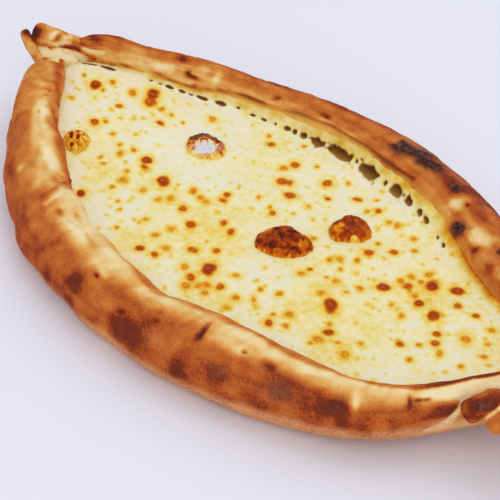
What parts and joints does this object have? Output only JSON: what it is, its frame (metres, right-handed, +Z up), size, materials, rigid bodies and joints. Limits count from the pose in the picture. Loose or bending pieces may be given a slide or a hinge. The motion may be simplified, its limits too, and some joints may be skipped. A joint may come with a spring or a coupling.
{
  "type": "pide",
  "caption": "Boat-shaped flatbread with a rolled, browned rim and pinched ends, filled with melted cheese spotted and blistered by baking.",
  "frame": {"origin": "on the ground under the middle of the whole, at the centre of the bounding box's bottom face", "axes": "+X along the boat from one pinched end to the other, +Y to the side with the narrower rolled rim, +Z up out of the filling"},
  "size_m": [0.3606, 0.1972, 0.0418],
  "materials": {
    "crust": "baked dough, dry, golden to deep brown with a few charred spots",
    "cheese": "melted cheese, slightly oily, cream to yellow with browned spots"
  },
  "bodies": {
    "root": {"crust": "crust", "cheese": "cheese"}
  },
  "joints": []
}
